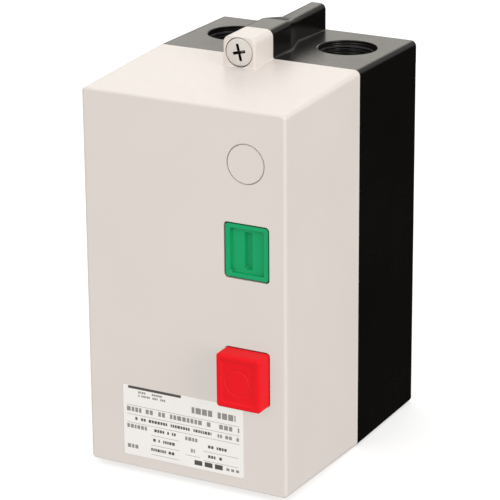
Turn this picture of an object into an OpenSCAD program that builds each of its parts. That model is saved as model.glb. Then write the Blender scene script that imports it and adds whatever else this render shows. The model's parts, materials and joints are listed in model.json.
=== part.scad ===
// Enclosed motor starter: a two-shell wall box that holds a contactor, a start
// contact block and a thermal overload relay, worked by two buttons in the cover.
// X runs to the right of the front, Y into the wall and Z up. The origin is the
// centre of the wall fixing holes, on the plane of the wall.

/* [Enclosure] */
// Width of the box at the seam
body_w = 93; // [92:0.5:100]
// Height of the box at the seam
body_h = 165; // [164:0.5:175]
// Depth of the black base, from the wall to the seam
base_d = 55; // [54:0.5:58]
// Depth of the light cover, from the seam to its front face
cover_d = 64; // [64:0.5:72]
// Wall thickness of the base
base_wall = 3; // [2.5:0.1:3]
// Wall thickness of the cover
cover_wall = 2.5; // [2:0.1:3]
// Radius of the four long corners
corner_r = 2.5; // [2:0.5:4]
// How far the cover's top and bottom lean in towards its front
cover_lean_z = 2.2; // [0:0.1:2.5]
// How far each side of the cover leans in towards its front
cover_lean_x = 0.9; // [0:0.1:1.2]
// How far the base's top leans down towards the wall
base_lean = 1; // [0:0.1:1.2]
// Gap between the two rims at the seam
seam_gap = 0.2; // [0.1:0.05:0.4]
// Height of the pads that touch the wall
pad_t = 0.8; // [0.5:0.1:1.2]

/* [Wall fixing and cable entries] */
// Distance between the fixing holes, across
fix_x = 64; // [60:1:66]
// Distance between the fixing holes, up
fix_z = 136; // [132:1:138]
// Diameter of a fixing hole
fix_hole_d = 5.2; // [4.5:0.1:6]
// Diameter of a threaded cable entry
entry_d = 24.5; // [20:0.5:25]
// Distance of each cable entry from the middle of the box
entry_x = 26; // [25:0.5:27]
// Distance of the cable entries from the seam
entry_y = 30.8; // [29:0.1:32]
// Length of thread in a cable entry
entry_len = 10; // [8:0.5:10]

/* [Cover screw] */
// Width of the tab on the cover and of the boss behind it
tab_w = 14.6; // [14:0.1:16]
// Depth of the tab, and of the straight part of the boss
tab_d = 16; // [14:0.5:18]
// Height of the tab's top above the middle of the box
tab_top = 94.7; // [94:0.1:96]
// Width of the rib that runs from the boss to the wall
rib_w = 8.4; // [6:0.2:10]
// Height of the screw above the middle of the box
screw_z = 88.2; // [88:0.1:89]
// Diameter of the screw's head
screw_head_d = 12; // [11:0.1:12.2]
// Diameter of the screw's thread
screw_d = 4.8; // [4:0.1:5]

/* [Buttons] */
// Distance of the buttons from the middle of the box
button_x = 28.1; // [27:0.1:28.5]
// Height of the start button
start_z = 22.3; // [21:0.1:24]
// Height of the stop button
stop_z = -30.2; // [-31:0.1:-29]
// Width of a button's opening
button_w = 20.2; // [19:0.1:21]
// Height of a button's opening
button_h = 23.4; // [22:0.1:24]
// How far the stop button stands out of the cover
stop_out = 8.3; // [6:0.1:9]
// How far the start button lies below the cover's face
start_in = 0.4; // [0:0.1:1]
// Travel of the start button
start_travel = 3.5; // [3:0.1:3.5]
// Travel of the stop button
stop_travel = 5; // [4:0.1:5]
// Height of the blank position above the buttons
blank_z = 58.7; // [57:0.1:60]
// Diameter of the blank position's ring
blank_d = 16.2; // [14:0.1:18]

/* [Rating label] */
// Width of the label
label_w = 55.7; // [50:0.1:56]
// Height of the label
label_h = 31; // [28:0.1:31]

/* [Contactor] */
// Distance of the contactor from the middle of the box
ct_x = -2; // [-3:0.5:-2]
// Height of the contactor's middle
ct_z = 27; // [26.5:0.5:27]
// Width of the contactor
ct_w = 45; // [45:0.5:46]
// Height of the contactor
ct_h = 74; // [74:0.5:75]
// Travel of the contact carrier
carrier_travel = 4.5; // [3:0.1:4.5]
// Distance between two poles
pole_pitch = 13; // [12.6:0.1:13.2]

/* [Overload relay] */
// Lowest edge of the overload relay
ov_z0 = -66; // [-68:0.5:-66]
// Highest edge of the overload relay
ov_z1 = -12; // [-12.5:0.1:-12]
// Right edge of the overload relay
ov_x1 = 35; // [35:0.5:37]

/* [Hidden] */
$fn = 48;

// planes of the enclosure, from the wall forwards
seam_y = -base_d;
rim_y = seam_y - seam_gap;
front_y = -base_d - cover_d;
inner_front_y = front_y + cover_wall;
rear_in_y = -pad_t - base_wall;
half_w = body_w / 2;
half_h = body_h / 2;
tab_y = rim_y - tab_d;

// the sealing rim: a groove in the base's ledge, and a tongue of the cover in it
ledge_w = 8;
ledge_t = 4.5;
groove_in = 4.1;
groove_w = 3;
groove_depth = 3;
tongue_in = 4.6;
tongue_w = 2;
gasket_t = 1.4;

// the cover screw and its seat
seat_r = screw_head_d / 2 + 0.3;
seat_depth = 3.6;
head_y = tab_y + 0.1;
head_t = seat_depth - 0.15;
insert_r = 3.45;
insert_l = 12;

// the guides of the two buttons, inside the cover
guide_w = 23.2;
guide_h = 26.4;
guide_wall = 1.9;
guide_end_y = -104;
clip_t = 1.5;
cap_gap = 0.25;
flange_t = 1.5;
flange_y = inner_front_y + 0.1;
cap_back_y = flange_y + flange_t;
rod_r = 3;
plunger_gap = 0.3;

// the mounting plate and what stands on it
plate_x = 34;
plate_z = 62;
plate_rear_y = -8.5;
plate_y = -10;
plate_screw_x = 30;
plate_screw_z = 57;

// the contactor
ct_flange_y = plate_y - 4;
ct_split_y = plate_y - 38;
ct_shelf_y = plate_y - 70;
ct_front_y = plate_y - 80;
ct_nose_h = 38;
poles = [for (i = [-1:1]) ct_x + i * pole_pitch];
term_y = ct_split_y - 23.5;
term_t = 1.5;
term_z = 30;
core_x = 8;
core_z = 24;
core_end_y = plate_y - 26;
armature_y = core_end_y - carrier_travel - 0.5;
carrier_y = armature_y - 12.6;
bridge_y = carrier_y - 9.4;

// the start contact block
sb_w = 12;
sb_h = 40;
sb_front_y = plate_y - 70;
start_plunger_y = sb_front_y - 6;
start_guide_y = sb_front_y + 18;
start_bridge_y = sb_front_y + 22;

// the overload relay
ov_x0 = ct_x - ct_w / 2;
ov_rear_y = plate_y - 4;
ov_split_y = plate_y - 50;
ov_front_y = plate_y - 72;
ov_wall = 2;
ov_term_z = ov_z0 + 8;
dial_x = 12;
dial_z = -24;
dial_r = 4;
reset_y = ov_front_y - 6;
reset_r = 3.5;
strip_y = ov_split_y + 15;

// ---------------------------------------------------------------- helpers

// a box from its lowest to its highest corner
module slab(x0, x1, y0, y1, z0, z1) {
    translate([x0, y0, z0]) cube([x1 - x0, y1 - y0, z1 - z0]);
}

// a rod along Y at x, z
module rod_y(x, z, y0, y1, r) {
    translate([x, y0, z]) rotate([-90, 0, 0]) cylinder(h = y1 - y0, r = r);
}

// an outline drawn in X and Z, extruded along Y
module along_y(y0, y1) {
    translate([0, y1, 0]) rotate([90, 0, 0]) linear_extrude(height = y1 - y0) children();
}

// an outline drawn in Y and Z, extruded along X
module along_x(x0, x1) {
    translate([x0, 0, 0]) rotate([90, 0, 90]) linear_extrude(height = x1 - x0) children();
}

module round_rect(w, h, r) {
    square([w, h - 2 * r], center = true);
    square([w - 2 * r, h], center = true);
    for (sx = [-1, 1], sz = [-1, 1])
        translate([sx * (w / 2 - r), sz * (h / 2 - r)]) circle(r = r);
}

// a block with rounded corners along Y, centred at x, z
module round_block(x, z, w, h, r, y0, y1) {
    translate([x, 0, z]) along_y(y0, y1) round_rect(w, h, r);
}

// a flat ring that follows the box's outline, from one inset to another
module rim_ring(inset, w, y0, y1) {
    r_out = max(corner_r - inset, 1);
    difference() {
        round_block(0, 0, body_w - 2 * inset, body_h - 2 * inset, r_out, y0, y1);
        round_block(0, 0, body_w - 2 * (inset + w), body_h - 2 * (inset + w), 1,
            y0 - 1, y1 + 1);
    }
}

// an arc's points, for the rounded front edges of the cover
function arc(cx, cy, r, a0, a1, n) =
    [for (i = [0:n]) [cx + r * cos(a0 + (a1 - a0) * i / n), cy + r * sin(a0 + (a1 - a0) * i / n)]];

// an outline over depth whose two walls lean in towards its rounded front
module leaning_outline(y_rear, y_front, reach, lean, r) {
    upper = arc(y_front + r, reach - lean - r, r, 92, 180, 5);
    lower = [for (i = [len(upper) - 1:-1:0]) [upper[i][0], -upper[i][1]]];
    polygon(concat([[y_rear, reach]], upper, lower, [[y_rear, -reach]]));
}

// the radius of the long corners at an inset
function inner_r(inset) = max(corner_r - inset * 0.8, 0.8);

// the cover's outer form, or its hollow when inset is its wall
module cover_form(inset, y_rear, edge_r) {
    intersection() {
        round_block(0, 0, body_w - 2 * inset, body_h - 2 * inset, inner_r(inset),
            front_y + inset, y_rear);
        along_x(-half_w, half_w)
            leaning_outline(y_rear, front_y + inset, half_h - inset, cover_lean_z, edge_r);
        translate([0, 0, -half_h]) linear_extrude(height = body_h) rotate(90)
            leaning_outline(y_rear, front_y + inset, half_w - inset, cover_lean_x, edge_r);
    }
}

// the base's outer form, or its hollow when inset is its wall
module base_form(inset, y_rear, y_front) {
    intersection() {
        round_block(0, 0, body_w - 2 * inset, body_h - 2 * inset, inner_r(inset),
            y_front, y_rear);
        along_x(-half_w, half_w) polygon([
            [seam_y - 1, inset - half_h],
            [1, inset - half_h],
            [1, half_h - base_lean - inset],
            [seam_y, half_h - inset],
            [seam_y - 1, half_h - inset]
        ]);
    }
}

// a coil spring along Y, as a round wire swept along a helix
module coil_spring(x, z, y0, y1, r, wire_r, turns) {
    sides = 6;
    steps = 10;
    n = turns * steps;
    pitch = (y1 - y0 - 2 * wire_r) / turns;
    function at(i, k) = let (a = 360 * i / steps, b = 360 * k / sides, q = r + wire_r * cos(b))
        [x + q * cos(a), y0 + wire_r + pitch * i / steps + wire_r * sin(b), z + q * sin(a)];
    polyhedron(
        points = [for (i = [0:n], k = [0:sides - 1]) at(i, k)],
        faces = concat(
            [[for (k = [0:sides - 1]) k]],
            [[for (k = [sides - 1:-1:0]) n * sides + k]],
            [for (i = [0:n - 1], k = [0:sides - 1]) let (m = (k + 1) % sides)
                [i * sides + k, (i + 1) * sides + k, (i + 1) * sides + m, i * sides + m]]
        ),
        convexity = 8
    );
}

// a screw that goes in along +Y: head_y is the underside of its head
module screw(x, z, head_y, length, head_r, head_h, shank_r) {
    difference() {
        rod_y(x, z, head_y - head_h, head_y, head_r);
        for (a = [0, 90])
            translate([x, head_y - head_h, z]) rotate([0, a + 15, 0])
                cube([head_r * 1.3, head_h * 0.9, head_r * 0.24], center = true);
    }
    rod_y(x, z, head_y, head_y + length, shank_r);
}

// ---------------------------------------------------------------- enclosure

module base_shell() {
    color([0.09, 0.085, 0.08]) difference() {
        union() {
            difference() {
                base_form(0, 0, seam_y);
                base_form(base_wall, rear_in_y, seam_y - 1);
            }
            rim_ring(base_wall - 0.2, ledge_w - base_wall + 0.2, seam_y, seam_y + ledge_t);
            entry_collars();
            screw_boss();
            for (sx = [-1, 1], sz = [-1, 1])
                rod_y(sx * plate_screw_x, sz * plate_screw_z, plate_rear_y, rear_in_y + 0.5, 4.5);
        }
        wall_relief();
        rim_ring(groove_in, groove_w, seam_y - 1, seam_y + groove_depth);
        entry_holes();
        rod_y(0, screw_z, seam_y - 1, seam_y + insert_l + 1, insert_r + 0.05);
        for (sx = [-1, 1], sz = [-1, 1]) {
            rod_y(sx * fix_x / 2, sz * fix_z / 2, rear_in_y - 1, 1, fix_hole_d / 2);
            rod_y(sx * plate_screw_x, sz * plate_screw_z, plate_rear_y - 1, -2.5, 1.6);
        }
    }
}

// the parts of the rear face that stay clear of the wall, between its pads
module wall_relief() {
    difference() {
        slab(-half_w - 1, half_w + 1, -pad_t, 1, -half_h - 1, tab_top);
        for (s = [-1, 1]) {
            slab(min(s * 9, s * (half_w + 2)), max(s * 9, s * (half_w + 2)), -2, 2, 71.7, half_h - 0.5);
            slab(min(s * 9, s * (half_w + 2)), max(s * 9, s * (half_w + 2)), -2, 2, -half_h - 2, 3 - half_h);
            for (sz = [-1, 1])
                rod_y(s * fix_x / 2, sz * fix_z / 2, -2, 2, 6);
        }
        slab(-rib_w / 2, rib_w / 2, -2, 2, 78, tab_top + 1);
    }
}

module entry_collars() {
    for (sx = [-1, 1], sz = [-1, 1])
        translate([sx * entry_x, seam_y + entry_y, sz * (half_h - entry_len / 2 - 1.4)])
            cylinder(h = entry_len - 1, r = entry_d / 2 + 2.8, center = true);
}

// the top entries have a flat seat cut into the leaning top; the bottom is flat already
module entry_holes() {
    for (sx = [-1, 1]) {
        translate([sx * entry_x, seam_y + entry_y, -half_h - 1])
            cylinder(h = body_h + 2, r = entry_d / 2);
        translate([sx * entry_x, seam_y + entry_y, half_h - base_lean + 0.1])
            cylinder(h = 5, r = entry_d / 2 + 1.6);
    }
}

// the boss behind the cover's tab, which narrows to a rib
module screw_boss() {
    taper_y = seam_y + tab_d;
    intersection() {
        round_block(0, half_h, tab_w, 2 * (tab_top - 0.2 - half_h), 2.5, seam_y, 0);
        translate([0, 0, half_h - 3]) linear_extrude(height = 20) polygon([
            [-tab_w / 2, seam_y], [tab_w / 2, seam_y], [tab_w / 2, taper_y],
            [rib_w / 2, taper_y + 11.5], [-rib_w / 2, taper_y + 11.5], [-tab_w / 2, taper_y]
        ]);
    }
    round_block(0, half_h, rib_w, 2 * (tab_top - 2 - half_h), 2.5, taper_y + 9, 0);
}

module cover_shell() {
    color([0.87, 0.84, 0.81]) difference() {
        union() {
            difference() {
                cover_form(0, rim_y, 1.5);
                cover_form(cover_wall, rim_y + 1, 0.8);
            }
            rim_ring(cover_wall - 0.2, tongue_in + tongue_w - cover_wall + 0.2, rim_y - 3, rim_y);
            rim_ring(tongue_in, tongue_w, rim_y - 1, seam_y + groove_depth - gasket_t - 0.1);
            cover_tab();
            locating_tongues();
            for (z = [start_z, stop_z])
                round_block(button_x, z, guide_w + 2 * guide_wall, guide_h + 2 * guide_wall, 3,
                    front_y + 1, guide_end_y);
        }
        for (z = [start_z, stop_z]) {
            round_block(button_x, z, button_w, button_h, 1.6, front_y - 1, guide_end_y + 1);
            round_block(button_x, z, guide_w, guide_h, 2, inner_front_y, guide_end_y + 1);
        }
        blank_position();
        rod_y(0, screw_z, tab_y - 1, tab_y + seat_depth, seat_r);
        rod_y(0, screw_z, tab_y, rim_y + 1, screw_d / 2 + 0.8);
        rod_y(0, screw_z, rim_y - 2.8, rim_y + 1, 4.6);
    }
}

// the tab that takes the cover screw
module cover_tab() {
    root_z = half_h - cover_wall;
    intersection() {
        round_block(0, root_z, tab_w, 2 * (tab_top - root_z), 3, tab_y, rim_y);
        slab(-tab_w, tab_w, tab_y, rim_y, root_z + 0.4, tab_top + 1);
    }
}

// two straight tongues at the bottom that enter the base and take the cover's weight
module locating_tongues() {
    z_top = 3 + ledge_w + 0.3 - half_h;
    for (sx = [-1, 1]) translate([sx * 24, 0, 0]) {
        slab(-4, 4, rim_y - 5, rim_y - 1, 1 - half_h + cover_wall, z_top);
        slab(-4, 4, rim_y - 5, seam_y + 8, z_top - 2, z_top);
    }
}

// a ring in the front and a thinner wall behind it, for a third button that isn't fitted
module blank_position() {
    difference() {
        rod_y(button_x, blank_z, front_y - 1, front_y + 0.4, blank_d / 2 + 0.25);
        rod_y(button_x, blank_z, front_y - 2, front_y + 1, blank_d / 2 - 0.25);
    }
    rod_y(button_x, blank_z, inner_front_y - 0.8, inner_front_y + 1, blank_d / 2);
}

module cover_gasket() {
    groove_y = seam_y + groove_depth;
    color([0.2, 0.2, 0.2])
        rim_ring(groove_in + 0.1, groove_w - 0.2, groove_y - gasket_t, groove_y);
}

module cover_screw() {
    color([0.82, 0.82, 0.8])
        screw(0, screw_z, head_y + head_t, 22, screw_head_d / 2, head_t, screw_d / 2);
}

module screw_retainer() {
    color([0.9, 0.9, 0.86]) difference() {
        rod_y(0, screw_z, rim_y - 1.8, rim_y - 0.8, 4.2);
        rod_y(0, screw_z, rim_y - 3, rim_y, screw_d / 2 + 0.02);
    }
}

module screw_insert() {
    color([0.8, 0.65, 0.3]) difference() {
        rod_y(0, screw_z, seam_y + 0.1, seam_y + insert_l, insert_r);
        rod_y(0, screw_z, seam_y - 1, seam_y + insert_l + 1, screw_d / 2 + 0.08);
    }
}

module rating_label() {
    label_t = 0.2;
    color([0.96, 0.95, 0.93])
        round_block(-1.8, -59.6, label_w, label_h, 0.5, front_y - label_t, front_y);
}

// ---------------------------------------------------------------- buttons

// a button's cap with the flange that keeps it in the cover
module button_cap(z, cap_front_y) {
    round_block(button_x, z, button_w - 2 * cap_gap, button_h - 2 * cap_gap, 1.3,
        cap_front_y, cap_back_y);
    round_block(button_x, z, guide_w - 0.6, guide_h - 0.6, 1.8, flange_y, cap_back_y);
}

module start_button() {
    cap_front_y = front_y + start_in;
    color([0.13, 0.65, 0.42]) difference() {
        button_cap(start_z, cap_front_y);
        round_block(button_x, start_z, 14.6, 18.4, 0.8, cap_front_y - 1, cap_front_y + 0.5);
        round_block(button_x, start_z, 3.1, 15.7, 0.4, cap_front_y - 1, cap_front_y + 1);
    }
}

module stop_button() {
    cap_front_y = front_y - stop_out;
    color([0.92, 0.14, 0.17]) difference() {
        button_cap(stop_z, cap_front_y);
        round_block(button_x, stop_z, 15, 18, 1.5, cap_front_y - 1, cap_front_y + 0.4);
        difference() {
            rod_y(button_x, stop_z, cap_front_y, cap_front_y + 0.8, 6);
            rod_y(button_x, stop_z, cap_front_y - 1, cap_front_y + 1, 4.6);
        }
    }
}

// a push rod with a foot that meets the plunger behind it
module push_rod(z, end_y) {
    color([0.85, 0.85, 0.83]) {
        rod_y(button_x, z, cap_back_y, end_y, rod_r);
        rod_y(button_x, z, end_y - 3, end_y, rod_r + 1);
    }
}

module start_rod() { push_rod(start_z, start_plunger_y - plunger_gap); }
module stop_rod() { push_rod(stop_z, reset_y - plunger_gap); }

module button_spring(z) {
    color([0.7, 0.7, 0.72])
        coil_spring(button_x, z, cap_back_y + 0.1, guide_end_y - 0.1, 4.7, 0.4, 6);
}

module start_spring() { button_spring(start_z); }
module stop_spring() { button_spring(stop_z); }

// a rubber bellows that closes the gap behind a cap
module button_seal(z) {
    length = guide_end_y - cap_back_y - 0.2;
    fold = length / 4;
    skin = 0.8;
    color([0.25, 0.25, 0.25])
        translate([button_x, cap_back_y + 0.1, z]) rotate([-90, 0, 0]) rotate_extrude()
            polygon([
                [7.6, 0], [7.6 + skin, 0], [9.6 + skin, fold], [7.6 + skin, 2 * fold],
                [9.6 + skin, 3 * fold], [7.6 + skin, length], [7.6, length],
                [9.6, 3 * fold], [7.6, 2 * fold], [9.6, fold]
            ]);
}

module start_seal() { button_seal(start_z); }
module stop_seal() { button_seal(stop_z); }

// the plate that closes a button's guide and carries its spring
module button_clip(z) {
    color([0.3, 0.3, 0.3]) difference() {
        round_block(button_x, z, guide_w + 2 * guide_wall, guide_h + 2 * guide_wall, 3,
            guide_end_y, guide_end_y + clip_t);
        rod_y(button_x, z, guide_end_y - 1, guide_end_y + clip_t + 1, rod_r + 1.3);
    }
}

module start_clip() { button_clip(start_z); }
module stop_clip() { button_clip(stop_z); }

// ---------------------------------------------------------------- mounting plate

module mounting_plate() {
    color([0.72, 0.73, 0.75]) difference() {
        round_block(0, 0, 2 * plate_x, 2 * plate_z, 3, plate_y, plate_rear_y);
        for (sx = [-1, 1], sz = [-1, 1])
            rod_y(sx * plate_screw_x, sz * plate_screw_z, plate_y - 1, 0, 1.9);
        for (s = [-1, 1])
            rod_y(ct_x - s * 15, ct_z + s * 33.5, plate_y - 1, 0, 2);
        rod_y(28, 48.5, plate_y - 1, 0, 2);
    }
}

module plate_screws() {
    color([0.78, 0.78, 0.76])
        for (sx = [-1, 1], sz = [-1, 1])
            screw(sx * plate_screw_x, sz * plate_screw_z, plate_y, 7, 3.4, 2.3, 1.55);
}

module earth_terminal() {
    color([0.8, 0.66, 0.32]) difference() {
        slab(23.5, 33, plate_y - 8, plate_y, 44.5, 52.5);
        rod_y(28, 48.5, plate_y - 9, 0, 2);
        slab(20, 36, plate_y - 5, plate_y - 2, 47.2, 49.8);
    }
}

module earth_screw() {
    color([0.25, 0.6, 0.3])
        screw(28, 48.5, plate_y - 8, 9.4, 3.6, 2.4, 1.9);
}

// ---------------------------------------------------------------- contactor

module contactor_base() {
    x0 = ct_x - ct_w / 2;
    x1 = ct_x + ct_w / 2;
    color([0.16, 0.16, 0.17]) difference() {
        union() {
            slab(x0, x1, ct_flange_y, plate_y, ct_z - ct_h / 2, ct_z + ct_h / 2);
            slab(x0, x1, ct_split_y, ct_flange_y, ct_z - 30, ct_z + 30);
        }
        slab(x0 + 2, x1 - 2, ct_split_y - 1, plate_y - 3, ct_z - 28, ct_z + 28);
        for (s = [-1, 1]) {
            rod_y(ct_x - s * 15, ct_z + s * 33.5, ct_flange_y - 1, 0, 2.2);
            slab(ct_x + s * 13 - 3, ct_x + s * 13 + 3, plate_y - 30, plate_y - 21,
                ct_z + 27, ct_z + 31);
        }
    }
}

module contactor_housing() {
    x0 = ct_x - ct_w / 2;
    x1 = ct_x + ct_w / 2;
    h = ct_h / 2;
    nose = ct_nose_h / 2;
    color([0.86, 0.86, 0.84]) difference() {
        union() {
            difference() {
                union() {
                    slab(x0, x1, ct_shelf_y, ct_split_y, ct_z - h, ct_z + h);
                    slab(x0, x1, ct_front_y, ct_shelf_y, ct_z - nose, ct_z + nose);
                }
                slab(x0 + 2, x1 - 2, ct_shelf_y + 2, ct_split_y + 1, ct_z - h + 2, ct_z + h - 2);
                slab(x0 + 2, x1 - 2, ct_front_y + 2, ct_shelf_y + 3, ct_z - nose + 2, ct_z + nose - 2);
            }
            for (s = [-1, 1]) terminal_shelf(s);
        }
        for (px = poles, s = [-1, 1]) {
            rod_y(px, ct_z + s * term_z, ct_shelf_y - 1, term_y - 3, 3.8);
            rod_y(px, ct_z + s * term_z, term_y, term_y + 12, 1.9);
            translate([px, 0, ct_z + s * h])
                slab(-4, 4, ct_shelf_y + 2, term_y + 0.2, -2.5, 2.5);
        }
        slab(ct_x - 5.4, ct_x + 5.4, ct_front_y - 1, ct_front_y + 3, ct_z - 4.9, ct_z + 4.9);
    }
}

// the ledge under one row of terminals, with the barriers between its poles
module terminal_shelf(s) {
    x0 = ct_x - ct_w / 2 + 1.9;
    x1 = ct_x + ct_w / 2 - 1.9;
    mirror_z(s) {
        slab(x0, x1, term_y + term_t + 0.05, ct_split_y - 4, 25, 35.1);
        for (b = [-0.5, 0.5])
            slab(ct_x + b * pole_pitch - 0.7, ct_x + b * pole_pitch + 0.7,
                ct_shelf_y + 1.9, term_y + 3, 19, 35.1);
    }
}

// the contactor is alike above and below its middle
module mirror_z(s) {
    translate([0, 0, ct_z]) mirror([0, 0, s < 0 ? 1 : 0]) children();
}

module contactor_screws() {
    color([0.78, 0.78, 0.76])
        for (s = [-1, 1])
            screw(ct_x - s * 15, ct_z + s * 33.5, ct_flange_y, 5.4, 3.4, 2.3, 1.9);
}

// an E-shaped iron core: three legs on a yoke
module e_core(yoke_y0, yoke_y1, leg_y0, leg_y1) {
    slab(ct_x - core_x, ct_x + core_x, yoke_y0, yoke_y1, ct_z - core_z, ct_z + core_z);
    for (s = [-1, 1]) mirror_z(s)
        slab(ct_x - core_x, ct_x + core_x, leg_y0, leg_y1, core_z - 6.5, core_z);
    slab(ct_x - core_x, ct_x + core_x, leg_y0, leg_y1, ct_z - 6.5, ct_z + 6.5);
}

module fixed_core() {
    color([0.5, 0.5, 0.52]) e_core(plate_y - 10, plate_y - 3, core_end_y, plate_y - 9);
}

module coil_bobbin() {
    color([0.9, 0.88, 0.8]) difference() {
        union() {
            slab(ct_x - 16, ct_x + 16, core_end_y, core_end_y + 1.5, ct_z - 17, ct_z + 17);
            slab(ct_x - 16, ct_x + 16, plate_y - 11.7, plate_y - 10.2, ct_z - 17, ct_z + 17);
            slab(ct_x - 9.6, ct_x + 9.6, core_end_y, plate_y - 10.2, ct_z - 8.1, ct_z + 8.1);
        }
        slab(ct_x - 8.3, ct_x + 8.3, core_end_y - 1, plate_y, ct_z - 6.8, ct_z + 6.8);
    }
}

module coil_winding() {
    color([0.72, 0.4, 0.2]) difference() {
        round_block(ct_x, ct_z, 30.4, 32.4, 4, core_end_y + 1.5, plate_y - 11.7);
        slab(ct_x - 9.6, ct_x + 9.6, core_end_y - 1, plate_y, ct_z - 8.1, ct_z + 8.1);
    }
}

module coil_terminals() {
    y = plate_y - 26.5;
    color([0.85, 0.72, 0.4])
        for (s = [-1, 1]) translate([ct_x + s * 13, 0, ct_z]) difference() {
            union() {
                slab(-2.5, 2.5, y, y + 1.2, 17, 34);
                slab(-2.5, 2.5, y, y + 6, 32.8, 34);
            }
            rod_y(0, 31, y - 2, y + 3, 1.4);
        }
}

module coil_terminal_screws() {
    color([0.78, 0.78, 0.76])
        for (s = [-1, 1])
            screw(ct_x + s * 13, ct_z + 31, plate_y - 26.5, 4.5, 2.3, 1.8, 1.3);
}

module moving_core() {
    color([0.55, 0.55, 0.57])
        e_core(armature_y - 12.5, armature_y - 6, armature_y - 6.5, armature_y);
}

// the plastic slide that the moving core pulls, with a window for each bridge
module contact_carrier() {
    color([0.15, 0.15, 0.16]) difference() {
        union() {
            slab(ct_x - 10, ct_x + 10, carrier_y - 3, carrier_y, ct_z - 10, ct_z + 10);
            slab(ct_x - 19.5, ct_x + 19.5, carrier_y - 22.5, carrier_y - 2, ct_z - 5, ct_z + 5);
            slab(ct_x - 5, ct_x + 5, ct_front_y + 0.4, carrier_y - 22, ct_z - 4.5, ct_z + 4.5);
        }
        for (px = poles)
            slab(px - 4, px + 4, carrier_y - 20.4, carrier_y - 7.5, ct_z - 6, ct_z + 6);
    }
}

module carrier_spring() {
    color([0.7, 0.7, 0.72])
        coil_spring(ct_x, ct_z, armature_y - 5.9, core_end_y - 0.1, 12.2, 0.6, 3);
}

module bridge_contacts() {
    color([0.85, 0.55, 0.35])
        for (px = poles) {
            slab(px - 3, px + 3, bridge_y - 1.2, bridge_y, ct_z - 17, ct_z + 17);
            for (s = [-1, 1])
                rod_y(px, ct_z + s * 14, bridge_y, bridge_y + 1.2, 2.4);
        }
}

module bridge_springs() {
    color([0.7, 0.7, 0.72])
        for (px = poles)
            coil_spring(px, ct_z, carrier_y - 20.3, bridge_y - 1.3, 2.6, 0.35, 5);
}

// one row of fixed contacts: a tip, a bent strip and a plate for the screw
module main_terminals(s) {
    tip_y = bridge_y + 1.2 + carrier_travel + 0.1;
    color([0.85, 0.6, 0.4]) mirror_z(s)
        for (px = poles) difference() {
            union() {
                rod_y(px, 14, tip_y, tip_y + 0.8, 2.4);
                slab(px - 3.5, px + 3.5, tip_y + 0.7, tip_y + 2.2, 11, 24.5);
                slab(px - 3.5, px + 3.5, term_y, tip_y + 2.2, 23, 24.5);
                slab(px - 3.5, px + 3.5, term_y, term_y + term_t, 23, 34.9);
            }
            rod_y(px, term_z, term_y - 1, term_y + term_t + 1, 1.75);
        }
}

module line_terminals() { main_terminals(1); }
module load_terminals() { main_terminals(-1); }

// the upper screws clamp wires under a washer; the lower ones clamp the link bars
module main_terminal_screws() {
    color([0.78, 0.78, 0.76])
        for (px = poles, s = [-1, 1]) {
            screw(px, ct_z + s * term_z, term_y - 1.2, 10, 3.1, 2.2, 1.6);
            if (s > 0) difference() {
                slab(px - 3.3, px + 3.3, term_y - 1.2, term_y, ct_z + term_z - 3.3, ct_z + term_z + 3.3);
                rod_y(px, ct_z + term_z, term_y - 2, term_y + 1, 1.6);
            }
        }
}

// ---------------------------------------------------------------- start contact block

module start_block_housing() {
    x0 = button_x - sb_w / 2;
    x1 = button_x + sb_w / 2;
    color([0.2, 0.2, 0.21]) difference() {
        slab(x0, x1, sb_front_y, plate_y, start_z - sb_h / 2, start_z + sb_h / 2);
        difference() {
            slab(x0 + 1.5, x1 - 1.5, sb_front_y + 1.5, plate_y - 2,
                start_z - sb_h / 2 + 1.5, start_z + sb_h / 2 - 1.5);
            slab(x0, x1, start_guide_y, start_guide_y + 2, start_z - 9, start_z + 9);
        }
        rod_y(button_x, start_z, sb_front_y - 1, start_guide_y + 3, 2.9);
        for (s = [-1, 1])
            rod_y(button_x, start_z + s * 14.5, sb_front_y - 1, sb_front_y + 4, 3);
    }
}

module start_plunger() {
    color([0.9, 0.9, 0.88]) {
        rod_y(button_x, start_z, start_plunger_y, start_bridge_y, 2.6);
        rod_y(button_x, start_z, sb_front_y + 1.6, sb_front_y + 3, 4.2);
    }
}

module start_bridge() {
    color([0.85, 0.55, 0.35]) {
        slab(button_x - 2.5, button_x + 2.5, start_bridge_y, start_bridge_y + 1,
            start_z - 12, start_z + 12);
        for (s = [-1, 1])
            rod_y(button_x, start_z + s * 10, start_bridge_y + 1, start_bridge_y + 2, 1.8);
    }
}

module start_plunger_spring() {
    color([0.7, 0.7, 0.72])
        coil_spring(button_x, start_z, sb_front_y + 3.1, start_guide_y - 0.1, 3.4, 0.3, 6);
}

module start_block_contacts() {
    tip_y = start_bridge_y + 2 + start_travel + 0.1;
    plate_front_y = sb_front_y + 8;
    color([0.85, 0.6, 0.4])
        for (s = [-1, 1]) translate([button_x, 0, start_z]) mirror([0, 0, s < 0 ? 1 : 0])
            difference() {
                union() {
                    rod_y(0, 10, tip_y, tip_y + 1.2, 1.8);
                    slab(-2.5, 2.5, tip_y + 1.1, tip_y + 2.3, 8, 18);
                    slab(-2.5, 2.5, plate_front_y, tip_y + 2.3, 16.8, 18);
                    slab(-2.5, 2.5, plate_front_y, plate_front_y + 1.2, 11.5, 18);
                }
                rod_y(0, 14.3, plate_front_y - 1, plate_front_y + 3, 1.4);
            }
}

module start_block_screws() {
    color([0.78, 0.78, 0.76])
        for (s = [-1, 1])
            screw(button_x, start_z + s * 14.3, sb_front_y + 8, 5, 2.4, 1.8, 1.3);
}

// ---------------------------------------------------------------- overload relay

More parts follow.
